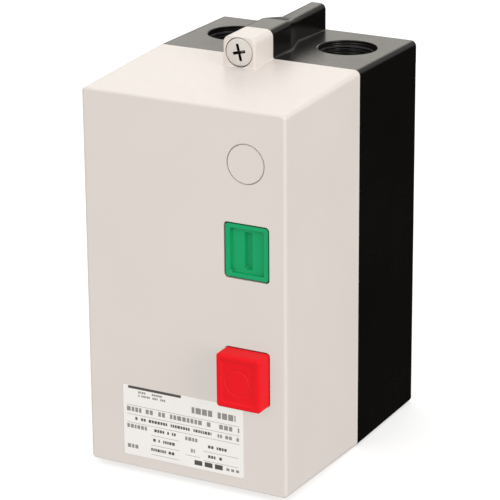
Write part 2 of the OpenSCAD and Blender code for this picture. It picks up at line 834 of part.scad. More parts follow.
module overload_housing() {
    color([0.17, 0.17, 0.18]) difference() {
        slab(ov_x0, ov_x1, ov_split_y, ov_rear_y, ov_z0, ov_z1);
        slab(ov_x0 + ov_wall, ov_x1 - ov_wall, ov_split_y - 1, ov_rear_y - ov_wall,
            ov_z0 + ov_wall, ov_z1 - ov_wall);
    }
}

module overload_cover() {
    ring_x = ov_x1 - ov_wall;
    color([0.22, 0.22, 0.23]) difference() {
        slab(ov_x0, ov_x1, ov_front_y, ov_split_y, ov_z0, ov_z1);
        difference() {
            slab(ov_x0 + ov_wall, ring_x, ov_front_y + ov_wall, ov_split_y + 1,
                ov_z0 + ov_wall, ov_z1 - ov_wall);
            slab(button_x - 6, ring_x + 1, ov_front_y + 16, ov_front_y + 17.5,
                stop_z - 6, stop_z + 6);
        }
        rod_y(button_x, stop_z, ov_front_y - 1, ov_front_y + 20, reset_r + 0.3);
        rod_y(dial_x, dial_z, ov_front_y - 1, ov_front_y + 3, dial_r + 0.3);
        for (s = [-1, 1])
            rod_y(button_x, stop_z + s * 11.2, ov_front_y - 1, ov_front_y + 3, 3);
        for (px = poles) {
            rod_y(px, ov_term_z, ov_front_y - 1, ov_front_y + 3, 3.8);
            slab(px - 4, px + 4, term_y - 3, term_y + 0.4, ov_z1 - 3, ov_z1 + 1);
            slab(px - 4, px + 4, ov_front_y + 3, ov_front_y + 10, ov_z0 - 1, ov_z0 + 3);
        }
    }
}

// flat bars from the contactor's lower terminals into the relay
module link_bars() {
    x_half = 2.6;
    color([0.85, 0.6, 0.4])
        for (px = poles) difference() {
            union() {
                slab(px - x_half, px + x_half, term_y - 1.2, term_y, -20, 0);
                slab(px - x_half, px + x_half, term_y - 0.1, strip_y, -20, -18.8);
            }
            rod_y(px, ct_z - term_z, term_y - 2, term_y + 1, 1.75);
        }
}

module heater_strips() {
    color([0.75, 0.75, 0.7])
        for (px = poles)
            slab(px - 2.2, px + 2.2, strip_y, strip_y + 1, ov_z0 + 14.2, -18.8);
}

module overload_terminals() {
    y = ov_front_y + 10;
    color([0.85, 0.6, 0.4])
        for (px = poles) difference() {
            union() {
                slab(px - 3, px + 3, y, y + 1.2, ov_z0 + 3, ov_z0 + 14.2);
                slab(px - 3, px + 3, y, strip_y + 1, ov_z0 + 13, ov_z0 + 14.2);
            }
            rod_y(px, ov_term_z, y - 1, y + 3, 1.75);
        }
}

module overload_terminal_screws() {
    color([0.78, 0.78, 0.76])
        for (px = poles)
            screw(px, ov_term_z, ov_front_y + 10, 8, 3.1, 2.2, 1.6);
}

// the bar that any of the heated strips pushes to the right
module trip_slide() {
    color([0.9, 0.9, 0.86]) {
        slab(-19, 19, strip_y - 3, strip_y - 1, -38, -34);
        for (px = poles)
            slab(px + 2.7, px + 3.9, strip_y - 1, strip_y + 2, -38, -34);
    }
}

module current_dial() {
    color([0.9, 0.9, 0.86]) difference() {
        union() {
            rod_y(dial_x, dial_z, ov_front_y - 1.2, ov_front_y + 4, dial_r);
            rod_y(dial_x, dial_z, ov_front_y + 4, ov_front_y + 12, 2);
        }
        slab(dial_x - 0.6, dial_x + 0.6, ov_front_y - 2, ov_front_y, dial_z - 3.2, dial_z + 3.2);
    }
}

module reset_plunger() {
    color([0.2, 0.35, 0.75]) {
        rod_y(button_x, stop_z, reset_y, ov_front_y + 24, reset_r);
        rod_y(button_x, stop_z, ov_front_y + 2.1, ov_front_y + 3.6, 4.9);
    }
}

module reset_spring() {
    color([0.7, 0.7, 0.72])
        coil_spring(button_x, stop_z, ov_front_y + 3.7, ov_front_y + 15.9, 4.3, 0.35, 6);
}

// the bridge that the reset plunger lifts off the trip contacts
module stop_bridge() {
    y = ov_front_y + 24;
    color([0.85, 0.55, 0.35]) {
        slab(button_x - 2.5, button_x + 2.5, y, y + 1, stop_z - 11, stop_z + 11);
        for (s = [-1, 1])
            rod_y(button_x, stop_z + s * 9, y - 1, y, 1.8);
    }
}

module trip_contacts() {
    tip_y = ov_front_y + 22.9;
    plate_front_y = ov_front_y + 8;
    color([0.85, 0.6, 0.4])
        for (s = [-1, 1]) translate([button_x, 0, stop_z]) mirror([0, 0, s < 0 ? 1 : 0])
            difference() {
                union() {
                    rod_y(0, 9, tip_y - 1.2, tip_y, 1.8);
                    slab(-2.5, 2.5, tip_y - 2.3, tip_y - 1.1, 7, 14.5);
                    slab(-2.5, 2.5, plate_front_y, tip_y - 1.1, 13.4, 14.6);
                    slab(-2.5, 2.5, plate_front_y, plate_front_y + 1.2, 8, 14.6);
                }
                rod_y(0, 11.2, plate_front_y - 1, plate_front_y + 3, 1.4);
            }
}

module trip_contact_screws() {
    color([0.78, 0.78, 0.76])
        for (s = [-1, 1])
            screw(button_x, stop_z + s * 11.2, ov_front_y + 8, 5, 2.4, 1.8, 1.3);
}

// ---------------------------------------------------------------- assembly

base_shell();
cover_shell();
cover_gasket();
cover_screw();
screw_retainer();
screw_insert();
rating_label();
start_button();
start_rod();
start_spring();
start_seal();
start_clip();
stop_button();
stop_rod();
stop_spring();
stop_seal();
stop_clip();
mounting_plate();
plate_screws();
contactor_base();
contactor_housing();
contactor_screws();
fixed_core();
coil_bobbin();
coil_winding();
coil_terminals();
coil_terminal_screws();
moving_core();
contact_carrier();
carrier_spring();
bridge_contacts();
bridge_springs();
line_terminals();
load_terminals();
main_terminal_screws();
start_block_housing();
start_plunger();
start_bridge();
start_plunger_spring();
start_block_contacts();
start_block_screws();
overload_housing();
overload_cover();
link_bars();
heater_strips();
overload_terminals();
overload_terminal_screws();
trip_slide();
current_dial();
reset_plunger();
reset_spring();
stop_bridge();
trip_contacts();
trip_contact_screws();
earth_terminal();
earth_screw();
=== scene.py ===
"""Looks for an enclosed motor starter.

Detailed shells, buttons, screw, label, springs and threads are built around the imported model, and
every other piece is a refined copy of its CAD solid. Lengths are millimetres in this script and
become metres when a mesh is made. X runs to the right of the front, Y into the wall and Z up.
"""

import json
import math
import random

import bmesh
import bpy
from mathutils import Matrix, Vector

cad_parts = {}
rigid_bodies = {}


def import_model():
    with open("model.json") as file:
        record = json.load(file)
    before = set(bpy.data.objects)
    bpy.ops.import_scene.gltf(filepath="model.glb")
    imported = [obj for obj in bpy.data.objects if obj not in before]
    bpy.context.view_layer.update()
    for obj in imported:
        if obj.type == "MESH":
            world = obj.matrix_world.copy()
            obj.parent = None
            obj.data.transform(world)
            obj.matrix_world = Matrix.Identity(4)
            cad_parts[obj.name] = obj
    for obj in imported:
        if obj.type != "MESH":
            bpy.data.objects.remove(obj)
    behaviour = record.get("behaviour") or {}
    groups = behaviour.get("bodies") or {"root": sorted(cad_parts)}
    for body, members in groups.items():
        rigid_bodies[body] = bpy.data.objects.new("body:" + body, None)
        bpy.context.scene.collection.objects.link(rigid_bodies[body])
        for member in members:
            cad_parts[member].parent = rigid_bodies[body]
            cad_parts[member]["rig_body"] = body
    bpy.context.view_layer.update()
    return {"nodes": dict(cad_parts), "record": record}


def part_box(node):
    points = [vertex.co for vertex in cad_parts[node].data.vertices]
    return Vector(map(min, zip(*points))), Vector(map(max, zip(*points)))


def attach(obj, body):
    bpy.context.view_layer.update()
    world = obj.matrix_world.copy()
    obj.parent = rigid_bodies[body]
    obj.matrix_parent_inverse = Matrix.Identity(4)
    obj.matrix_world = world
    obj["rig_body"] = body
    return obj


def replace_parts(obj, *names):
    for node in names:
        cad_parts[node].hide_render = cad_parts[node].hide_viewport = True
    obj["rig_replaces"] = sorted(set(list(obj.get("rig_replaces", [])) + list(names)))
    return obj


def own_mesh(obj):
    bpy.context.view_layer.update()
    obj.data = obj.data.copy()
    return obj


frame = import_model()

# ---------------------------------------------------------------- sizes from the frame

MM = 0.001


def box(node):
    """A node's lowest and highest corners."""
    lo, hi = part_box(node)
    return lo / MM, hi / MM


def middle(node):
    """The centre of a node's box."""
    lo, hi = box(node)
    return (lo + hi) / 2


cover_lo, cover_hi = box("cover_shell")
base_lo, base_hi = box("base_shell")
half_w = cover_hi.x
half_h = -cover_lo.z
front_y = cover_lo.y
seam_y = base_lo.y
SEAM_GAP = 0.2
rim_y = seam_y - SEAM_GAP
COVER_WALL = 2.5
BASE_WALL = 3.0
CORNER_R = 2.5
CORNER_TIGHTER = 0.8
INNER_TIGHTER = 0.8
FRONT_EDGE_R = 1.4
EDGE_SOFTNESS = 0.15
COVER_LEAN_X = 0.9
COVER_LEAN_Z = 2.2
BASE_LEAN = 1.0
PAD_T = 0.8

# the sealing rim
LEDGE_W = 8.0
LEDGE_T = 4.5
GROOVE_IN = 4.1
GROOVE_W = 3.0
GROOVE_DEPTH = 3.0
LIP_IN = 4.6
LIP_W = 2.0

# the tab, the screw and the boss behind it
screw_lo, screw_hi = box("cover_screw")
head_r = (screw_hi.x - screw_lo.x) / 2
screw_z = (screw_lo.z + screw_hi.z) / 2
tab_y = screw_lo.y - 0.1
tab_top = cover_hi.z
TAB_W = 14.6
TAB_R = 3
TAB_FRONT_R = 0.8
TAB_FILLET = 0.8
TAB_EDGE = 0.3
SEAT_GAP = 0.25
SEAT_DEPTH = 3.6
HEAD_T = SEAT_DEPTH - 0.15
SHAFT_R = 3.2
RETAINER_R = 4.6
RETAINER_DEPTH = 2.8
INSERT_R = 3.5
INSERT_DEPTH = 13
RIB_W = 8.4
BOSS_DEPTH = 16.0
TAPER_DEPTH = 11.5
rib_top = base_hi.z - 1.8

# the cover's stiffening ribs and the two tongues at its lower end
STIFFENER_Z = (-50, 0, 50)
STIFFENER_IN = 37.2
TONGUE_X = (20, 28)
TONGUE_T = 2
TONGUE_REACH = 8
TONGUE_PLAY = 1.3

# the base's posts and pads
POST_R = 4.5
POST_HOLE_R = 1.6
PLATE_SCREW_R = 3.4
PAD_R = 6

# cable entries and wall fixings, from the record's mounts
mounts = {m["name"]: m for m in frame["record"]["mounts"]}
entries = [m for name, m in mounts.items() if name.startswith("cable_entry")]
fixing = mounts["wall_fixing"]["dims"]
THREAD_PITCH = 1.5
THREAD_DEPTH = 0.75
ENTRY_DEPTH = 11
ENTRY_EDGE_R = 0.6
COLLAR_WALL = 2.8
COLLAR_ROOT = 2

# the buttons and their openings
OPENING_W = 20.2
OPENING_H = 23.4
OPENING_R = 1.6
CAP_GAP = 0.25
CAP_R = 1.3
CAP_W = OPENING_W - 2 * CAP_GAP
CAP_H = OPENING_H - 2 * CAP_GAP
GUIDE_W = OPENING_W + 3
GUIDE_H = OPENING_H + 3
GUIDE_WALL = 1.9
start_at = middle("start_button")
stop_at = middle("stop_button")
guide_end_y = box("start_clip")[0].y
BLANK_Z = 58.7
BLANK_R = 8.1
BLANK_T = 0.8

# ---------------------------------------------------------------- mesh tools

CORNER_STEPS = 8


def ring(y, x0, x1, z0, z1, r, steps=CORNER_STEPS):
    """Points of a rounded rectangle that stands at depth y."""
    corners = ((x1 - r, z1 - r, 0), (x0 + r, z1 - r, 90), (x0 + r, z0 + r, 180), (x1 - r, z0 + r, 270))
    points = []
    for cx, cz, first in corners:
        for i in range(steps + 1):
            a = math.radians(first + 90 * i / steps)
            points.append((cx + r * math.cos(a), y, cz + r * math.sin(a)))
    return points


def block_ring(y, x, z, w, h, r, steps=CORNER_STEPS):
    """A rounded rectangle at depth y, centred at x, z."""
    return ring(y, x - w / 2, x + w / 2, z - h / 2, z + h / 2, r, steps)


def round_ring(y, x, z, r, steps=CORNER_STEPS):
    """A circle with as many points as a rounded rectangle, in the same order."""
    points = []
    for quarter in range(4):
        for i in range(steps + 1):
            a = math.radians(90 * (quarter + (i + 0.5) / (steps + 1)))
            points.append((x + r * math.cos(a), y, z + r * math.sin(a)))
    return points


def rounding(y_end, facing, r, steps=5):
    """(y, inset) pairs that round the end of a loft, from its side to its end face."""
    angles = [math.radians(90 * i / steps) for i in range(steps + 1)]
    return [(y_end - facing * r * (1 - math.sin(a)), r * (1 - math.cos(a))) for a in angles]


def new_object(name, bm):
    """An object from a bmesh in millimetres, with its normals outward."""
    bmesh.ops.recalc_face_normals(bm, faces=bm.faces)
    bmesh.ops.scale(bm, vec=(MM, MM, MM), verts=bm.verts)
    mesh = bpy.data.meshes.new(name)
    bm.to_mesh(mesh)
    bm.free()
    obj = bpy.data.objects.new(name, mesh)
    bpy.context.scene.collection.objects.link(obj)
    return obj


def loft(name, rings, closed=False):
    """A skin through rings of equal length. It has end faces, or joins its last ring to its first."""
    bm = bmesh.new()
    rows = [[bm.verts.new(p) for p in points] for points in rings]
    n = len(rows[0])
    pairs = list(zip(rows, rows[1:]))
    if closed:
        pairs.append((rows[-1], rows[0]))
    for a, b in pairs:
        for i in range(n):
            j = (i + 1) % n
            bm.faces.new((a[i], a[j], b[j], b[i]))
    if not closed:
        bm.faces.new(rows[0])
        bm.faces.new(rows[-1][::-1])
    return new_object(name, bm)


def slab(name, x0, x1, y0, y1, z0, z1):
    """A box, used to cut or to add material."""
    return loft(name, [[(x0, y, z0), (x1, y, z0), (x1, y, z1), (x0, y, z1)] for y in (y0, y1)])


def rod(name, x, z, y0, y1, r, steps=48):
    """A cylinder along Y."""
    turn = [math.radians(360 * i / steps) for i in range(steps)]
    return loft(name, [[(x + r * math.cos(a), y, z + r * math.sin(a)) for a in turn] for y in (y0, y1)])


def lathe(name, x, z, profile, steps=64, closed=False, axis="Y"):
    """A skin turned about a line at x, z along Y, from (depth, radius) pairs; axis Z turns it up."""
    turn = [math.radians(360 * i / steps) for i in range(steps)]
    if axis == "Z":
        rings = [[(x + r * math.cos(a), z + r * math.sin(a), d) for a in turn] for d, r in profile]
    else:
        rings = [[(x + r * math.cos(a), d, z + r * math.sin(a)) for a in turn] for d, r in profile]
    return loft(name, rings, closed)


def settle(obj):
    """Applies an object's modifiers to its mesh."""
    depsgraph = bpy.context.evaluated_depsgraph_get()
    mesh = bpy.data.meshes.new_from_object(obj.evaluated_get(depsgraph))
    obj.modifiers.clear()
    old = obj.data
    obj.data = mesh
    bpy.data.meshes.remove(old)


def combine(target, tools, operation):
    """Joins the tools to the target or cuts them from it, and removes them."""
    for tool in tools:
        modifier = target.modifiers.new("combine", "BOOLEAN")
        modifier.operation = operation
        modifier.solver = "EXACT"
        modifier.object = tool
    bpy.context.view_layer.update()
    settle(target)
    for tool in tools:
        bpy.data.meshes.remove(tool.data)
    tidy(target)


def tidy(obj, angle=0.3):
    """Welds an object's mesh and joins the flat faces that a cut has split."""
    bm = bmesh.new()
    bm.from_mesh(obj.data)
    bmesh.ops.remove_doubles(bm, verts=bm.verts, dist=0.002 * MM)
    bmesh.ops.dissolve_degenerate(bm, edges=bm.edges, dist=0.002 * MM)
    bmesh.ops.dissolve_limit(bm, angle_limit=math.radians(angle), verts=bm.verts, edges=bm.edges)
    bm.to_mesh(obj.data)
    bm.free()


def fillet(obj, chosen, radius, steps=6):
    """Rounds the edges that chosen(middle, edge) picks, where middle is in millimetres."""
    bm = bmesh.new()
    bm.from_mesh(obj.data)
    bm.normal_update()
    edges = [e for e in bm.edges if chosen((e.verts[0].co + e.verts[1].co) / 2 / MM, e)]
    bmesh.ops.bevel(bm, geom=edges, offset=radius * MM, offset_type="OFFSET", segments=steps,
                    profile=0.5, affect="EDGES", clamp_overlap=False)
    bm.to_mesh(obj.data)
    bm.free()


def smooth(obj, soften=0.0, segments=2, sharp=32):
    """Breaks the sharp edges with a small bevel and shades the rest smooth."""
    if soften:
        bevel = obj.modifiers.new("soften", "BEVEL")
        bevel.width = soften * MM
        bevel.segments = segments
        bevel.limit_method = "ANGLE"
        bevel.angle_limit = math.radians(sharp)
        bevel.miter_outer = "MITER_ARC"
        settle(obj)
    obj.data.shade_smooth()
    obj.data.set_sharp_from_angle(angle=math.radians(50))
    normals = obj.modifiers.new("normals", "WEIGHTED_NORMAL")
    normals.keep_sharp = True
    settle(obj)


# ---------------------------------------------------------------- materials


class Nodes:
    """Builds one node material, with short names for the steps that materials share."""

    def __init__(self, name):
        self.material = bpy.data.materials.new(name)
        self.material.use_nodes = True
        self.tree = self.material.node_tree
        self.tree.nodes.clear()
        out = self.tree.nodes.new("ShaderNodeOutputMaterial")
        self.shader = self.tree.nodes.new("ShaderNodeBsdfPrincipled")
        self.tree.links.new(self.shader.outputs[0], out.inputs[0])
        self.place = self.tree.nodes.new("ShaderNodeTexCoord").outputs["Object"]

    def node(self, kind, inputs=None, **settings):
        made = self.tree.nodes.new(kind)
        for key, value in settings.items():
            setattr(made, key, value)
        for key, value in (inputs or {}).items():
            if isinstance(value, bpy.types.NodeSocket):
                self.tree.links.new(value, made.inputs[key])
            else:
                made.inputs[key].default_value = value
        return made

    def noise(self, size, detail=3.0, stretch=None, rough=0.55):
        """Cloudy noise from 0 to 1 whose features are about size millimetres."""
        place = self.place
        if stretch:
            place = self.node("ShaderNodeVectorMath", {0: place, 1: stretch}, operation="MULTIPLY").outputs[0]
        made = self.node("ShaderNodeTexNoise", {"Vector": place, "Scale": 1 / (size * MM),
                                                "Detail": detail, "Roughness": rough})
        return made.outputs[0]

    def spread(self, value, low, high, start=0.3, end=0.7):
        """Maps a value's range from start to end on to low to high."""
        return self.node("ShaderNodeMapRange", {"Value": value, "From Min": start, "From Max": end,
                                                "To Min": low, "To Max": high}).outputs[0]

    def mix(self, share, a, b):
        made = self.node("ShaderNodeMix", {0: share, 6: a, 7: b}, data_type="RGBA")
        return made.outputs[2]

    def times(self, a, b):
        return self.node("ShaderNodeMath", {0: a, 1: b}, operation="MULTIPLY").outputs[0]

    def plus(self, a, b):
        return self.node("ShaderNodeMath", {0: a, 1: b}, operation="ADD").outputs[0]

    def edges(self, size):
        """1 along convex and concave edges, 0 on flat areas."""
        bevel = self.node("ShaderNodeBevel", {"Radius": size * MM}, samples=6)
        flat = self.tree.nodes.new("ShaderNodeNewGeometry").outputs["True Normal"]
        dot = self.node("ShaderNodeVectorMath", {0: bevel.outputs[0], 1: flat},
                        operation="DOT_PRODUCT").outputs["Value"]
        return self.spread(dot, 1.0, 0.0, 0.78, 0.995)

    def painted_recess_shade(self, size):
        """A mask for painted shade: 1 deep in narrow recesses, where shade falls, 0 on open faces."""
        shade = self.node("ShaderNodeAmbientOcclusion", {"Distance": size * MM}, samples=8)
        return self.spread(shade.outputs["AO"], 1.0, 0.0, 0.25, 0.75)

    def bump(self, height, depth, normal=None):
        inputs = {"Height": height, "Distance": depth * MM, "Strength": 1.0}
        if normal:
            inputs["Normal"] = normal
        return self.node("ShaderNodeBump", inputs).outputs[0]

    def finish(self, colour, rough, normal):
        for key, value in (("Base Color", colour), ("Roughness", rough), ("Normal", normal)):
            self.tree.links.new(value, self.shader.inputs[key])
        return self.material


def tone(rgb, factor):
    """A colour made lighter or darker, with its alpha."""
    return tuple(min(1.0, c * factor) for c in rgb) + (1.0,)


def plastic(name, rgb, rough, grain=0.35, depth=0.006, wear=0.12, specular=0.5, vary=0.03,
            scuffs=1.0, recess_shade=None):
    """Moulded plastic: flow marks, a fine grain, faint scuffs, rubbed edges and painted shade in recesses."""
    m = Nodes(name)
    m.shader.inputs["Specular IOR Level"].default_value = specular
    cloud = m.noise(38, 4)
    speck = m.noise(1.6, 2)
    colour = m.mix(m.spread(cloud, 0, 1), tone(rgb, 1 - vary), tone(rgb, 1 + vary))
    colour = m.mix(m.spread(speck, 0, 0.25, 0.55, 0.8), colour, tone(rgb, 1 - 2 * vary))
    rubbed = m.times(m.edges(0.7), m.spread(m.noise(5, 4), 0.0, wear * 2, 0.35, 0.75))
    colour = m.mix(rubbed, colour, tone([c * 0.6 + 0.35 for c in rgb], 1.0))
    # Painted shade: the colour darkens deep in recesses, where shade falls.
    if recess_shade:
        colour = m.mix(m.painted_recess_shade(recess_shade), colour, tone(rgb, 0.25))
    scuff = m.spread(m.noise(3.5, 5, (1, 1, 0.25)), -0.04 * scuffs, 0.07 * scuffs, 0.35, 0.75)
    roughness = m.plus(m.spread(cloud, rough - 0.03, rough + 0.03), scuff)
    normal = m.bump(m.noise(grain, 3), depth, m.bump(m.noise(22, 2), 0.03))
    return m.finish(colour, roughness, normal)


def metal(name, rgb, rough, stretch=(1, 1, 1), depth=0.004, lines=None, vary=0.1, wear=0.3, recess_shade=None):
    """Metal: streaks, tarnish in patches, bright edges and painted shade in recesses. lines = (axis, pitch).
    """
    m = Nodes(name)
    m.shader.inputs["Metallic"].default_value = 1.0
    streak = m.noise(0.5, 4, stretch)
    cloud = m.noise(7, 4)
    colour = m.mix(m.spread(cloud, 0, 1), tone(rgb, 1 - vary), tone(rgb, 1 + vary))
    colour = m.mix(m.times(m.edges(0.4), wear), colour, tone([c * 0.5 + 0.42 for c in rgb], 1.0))
    roughness = m.plus(m.spread(streak, rough - 0.06, rough + 0.08), m.spread(cloud, -0.04, 0.06))
    normal = m.bump(streak, depth)
    if lines:
        axis, pitch = lines
        wave = m.node("ShaderNodeTexWave", {"Vector": m.place, "Scale": 0.314 / (pitch * MM),
                                            "Distortion": 0.4, "Detail": 1.0, "Detail Scale": 1.0},
                      wave_type="BANDS", bands_direction=axis, wave_profile="SIN")
        normal = m.bump(wave.outputs[1], pitch * 0.25, normal)
        colour = m.mix(m.spread(wave.outputs[1], 0.6, 0, 0, 0.35), colour, tone(rgb, 0.35))
    # Painted shade: the colour goes nearly black deep in recesses, where shade falls.
    if recess_shade:
        colour = m.mix(m.painted_recess_shade(recess_shade), colour, (0.012, 0.011, 0.01, 1.0))
    return m.finish(colour, roughness, normal)


def rubber(name, rgb):
    """Moulded rubber: dull, slightly dusty, with a soft sheen."""
    m = Nodes(name)
    m.shader.inputs["Sheen Weight"].default_value = 0.25
    dust = m.noise(2.2, 5)
    colour = m.mix(m.spread(dust, 0, 0.6, 0.45, 0.8), tone(rgb, 1.0), tone([c + 0.05 for c in rgb], 1.0))
    roughness = m.spread(dust, 0.62, 0.8)
    return m.finish(colour, roughness, m.bump(m.noise(0.3, 3), 0.01))


def film(name, rgb, rough):
    """Printed polyester film: satin, with a faint weave of print dots and shallow waves."""
    m = Nodes(name)
    m.shader.inputs["Coat Weight"].default_value = 0.15
    cloud = m.noise(16, 3)
    dots = m.noise(0.25, 2)
    colour = m.mix(m.spread(cloud, 0, 1), tone(rgb, 0.975), tone(rgb, 1.01))
    colour = m.mix(m.spread(dots, 0, 0.3, 0.5, 0.75), colour, tone(rgb, 0.95))
    roughness = m.spread(cloud, rough - 0.04, rough + 0.05)
    return m.finish(colour, roughness, m.bump(m.noise(0.5, 2), 0.002, m.bump(cloud, 0.03)))


def linear(r, g, b):
    """A display colour, 0 to 255, as the linear colour that shaders take."""
    return [(c / 255 / 12.92) if c <= 10 else ((c / 255 + 0.055) / 1.055) ** 2.4 for c in (r, g, b)]


LOOKS = {
    "cover_plastic": plastic("cover_plastic", linear(224, 216, 210), 0.36, wear=0.05, vary=0.012),
    "base_plastic": plastic("base_plastic", linear(15, 13, 11), 0.26, grain=0.8, depth=0.002, vary=0.08,
                            wear=0.03, scuffs=0.1),
    # green_plastic and red_plastic have painted shade deep in their recesses.
    "green_plastic": plastic("green_plastic", linear(8, 164, 102), 0.36, wear=0.05, specular=0.25, recess_shade=2.4),
    "red_plastic": plastic("red_plastic", linear(238, 26, 36), 0.5, wear=0.03, specular=0.07, recess_shade=1.6),
    "label_film": film("label_film", linear(247, 244, 240), 0.42),
    "label_ink": film("label_ink", linear(74, 70, 68), 0.5),
    "label_pale_ink": film("label_pale_ink", linear(146, 142, 138), 0.5),
    "seal_rubber": rubber("seal_rubber", linear(40, 40, 42)),
    # plated_steel has painted shade deep in its recesses, such as the screw's cross recess.
    "plated_steel": metal("plated_steel", linear(232, 229, 224), 0.42, (1, 0.3, 1), vary=0.06, recess_shade=3.2),
    "spring_steel": metal("spring_steel", linear(180, 181, 186), 0.28, (1, 1, 1), vary=0.08),
    "laminated_iron": metal("laminated_iron", linear(150, 150, 154), 0.45, (1, 1, 1), lines=("X", 0.5)),
    "brass": metal("brass", linear(214, 178, 98), 0.32, (1, 1, 1)),
    "copper_alloy": metal("copper_alloy", linear(222, 160, 118), 0.34, (1, 1, 0.3)),
    "copper_wire": metal("copper_wire", linear(190, 104, 58), 0.3, (1, 1, 1), lines=("Y", 0.4)),
    "dark_housing": plastic("dark_housing", linear(50, 50, 53), 0.55, grain=0.5, depth=0.015, vary=0.08),
    "light_housing": plastic("light_housing", linear(212, 212, 205), 0.5, grain=0.5, depth=0.012),
    "natural_nylon": plastic("natural_nylon", linear(228, 224, 208), 0.4, grain=0.8, depth=0.006),
    "blue_plastic": plastic("blue_plastic", linear(44, 88, 186), 0.36),
    "clip_plastic": plastic("clip_plastic", linear(58, 58, 58), 0.5, vary=0.08),
    "bimetal": metal("bimetal", linear(190, 188, 176), 0.4, (1, 1, 0.2)),
    "earth_green": plastic("earth_green", linear(38, 148, 78), 0.4, wear=0.4),
}
SLOTS = {part["node"]: part["material_slot"] for part in frame["record"]["subparts"]}


def dress(obj, look):
    """Gives an object one material."""
    obj.data.materials.clear()
    obj.data.materials.append(LOOKS[look])


def stand_for(obj, node):
    """Lets a new piece take a CAD node's place, body, slot and material."""
    dress(obj, SLOTS[node])
    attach(obj, frame["nodes"][node]["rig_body"])
    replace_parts(obj, node)
    return obj


def go_with(obj, node, look):
    """Lets an extra piece ride with a CAD node's body."""
    dress(obj, look)
    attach(obj, frame["nodes"][node]["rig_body"])
    return obj


# ---------------------------------------------------------------- threads and springs


def thread_skin(name, x, y, z0, z1, r, pitch, depth, plain_r, steps=72, rows_per_turn=8):
    """A threaded skin about a vertical line, closed by a plain skin at plain_r."""
    rows = round((z1 - z0) / pitch * rows_per_turn)
    turn = [2 * math.pi * k / steps for k in range(steps)]

    def radius(z, a):
        phase = ((z - z0) / pitch - a / (2 * math.pi)) % 1.0
        ridge = max(0.0, 1 - abs(phase - 0.5) * 2.6)
        fade = min(1.0, (z - z0) / pitch, (z1 - z) / pitch)
        return r - depth * ridge * fade * (1 if plain_r > r else -1)

    rings = []
    for i in range(rows + 1):
        z = z0 + (z1 - z0) * i / rows
        rings.append([(x + radius(z, a) * math.cos(a), y + radius(z, a) * math.sin(a), z) for a in turn])
    for z in (z1, z0):
        rings.append([(x + plain_r * math.cos(a), y + plain_r * math.sin(a), z) for a in turn])
    return loft(name, rings, closed=True)


def coil(name, x, z, y0, y1, r, wire_r, turns):
    """A spring along Y with ground, closed ends."""
    sides, steps = 10, 28
    rings = []
    dead = 0.75
    total = round((turns + 2 * dead) * steps)
    length = y1 - y0 - 2 * wire_r
    for i in range(total + 1):
        n = i / steps
        share = min(max((n - dead) / turns, 0.0), 1.0)
        lay = 0.9 * wire_r * (min(n, dead) + max(n - dead - turns, 0.0)) / dead
        y = y0 + wire_r + lay + (length - 1.8 * wire_r) * share
        a = 2 * math.pi * n
        out = Vector((math.cos(a), 0, math.sin(a)))
        centre = Vector((x, y, z)) + r * out
        rings.append([tuple(centre + wire_r * (math.cos(b) * out + math.sin(b) * Vector((0, 1, 0))))
                      for b in (2 * math.pi * k / sides for k in range(sides))])
    return loft(name, rings)


def spring(node, wire_r, turns, joint=None):
    """A smooth spring in a CAD spring's place; given a joint, it gets a mesh of its own."""
    lo, hi = box(node)
    r = (hi.x - lo.x) / 2 - wire_r
    obj = coil(node + "_coil", (lo.x + hi.x) / 2, (lo.z + hi.z) / 2, lo.y, hi.y, r, wire_r, turns)
    smooth(obj)
    stand_for(obj, node)
    if joint:
        squash_with(obj)
    return obj


def squash_with(obj):
    """Gives a piece a copy of its mesh; it is not shortened."""
    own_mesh(obj)


# ---------------------------------------------------------------- enclosure


def rim_tube(name, inset, width, y0, y1):
    """A tube that follows the box's outline, from one inset to another."""
    outer_r = max(CORNER_R - inset, 1.0)
    path = [(inset, y0, outer_r), (inset, y1, outer_r), (inset + width, y1, 1.0), (inset + width, y0, 1.0)]
    return loft(name, [ring(y, i - half_w, half_w - i, i - half_h, half_h - i, r) for i, y, r in path],
                closed=True)


def cover_rings(inset, y_rear, y_front, edge_r, steps):
    """Rings of the cover's leaning form, rounded at its front, and less at its top and bottom."""
    depth = rim_y - front_y

    def at(y, extra):
        share = (rim_y - y) / depth
        i = inset + extra
        x = half_w - COVER_LEAN_X * share - i
        z = half_h - COVER_LEAN_Z * share - inset - extra * 0.5
        corner = max(CORNER_R - CORNER_TIGHTER * share - INNER_TIGHTER * inset, 0.8)
        return ring(y, -x, x, -z, z, max(corner - extra * 0.5, 0.3))

    return [at(y_rear, 0)] + [at(y, extra) for y, extra in rounding(y_front, -1, edge_r, steps)]


def flared(name, x, z, w, h, r, y_edge, y_end, flare, steps=4):
    """A cutter along Y that opens into a rounded edge at y_edge, which faces the front."""
    rings = [block_ring(y_end, x, z, w, h, r)]
    for i in range(steps + 1):
        a = math.radians(90 * i / steps)
        out = flare * (1 - math.cos(a))
        rings.append(block_ring(y_edge + flare * (1 - math.sin(a)), x, z, w + 2 * out, h + 2 * out, r + out))
    rings.append(block_ring(y_edge - 1, x, z, w + 2 * flare, h + 2 * flare, r + flare))
    return loft(name, rings)


def flared_rod(name, x, z, r, y_edge, y_end, flare, steps=4):
    """A round cutter along Y that opens into a rounded edge at y_edge."""
    profile = [(y_end, r)]
    for i in range(steps + 1):
        a = math.radians(90 * i / steps)
        profile.append((y_edge + flare * (1 - math.sin(a)), r + flare * (1 - math.cos(a))))
    profile.append((y_edge - 1, r + flare))
    return lathe(name, x, z, profile)


def cover_top(y):
    """Height of the cover's leaning top at depth y."""
    return half_h - COVER_LEAN_Z * (rim_y - y) / (rim_y - front_y)


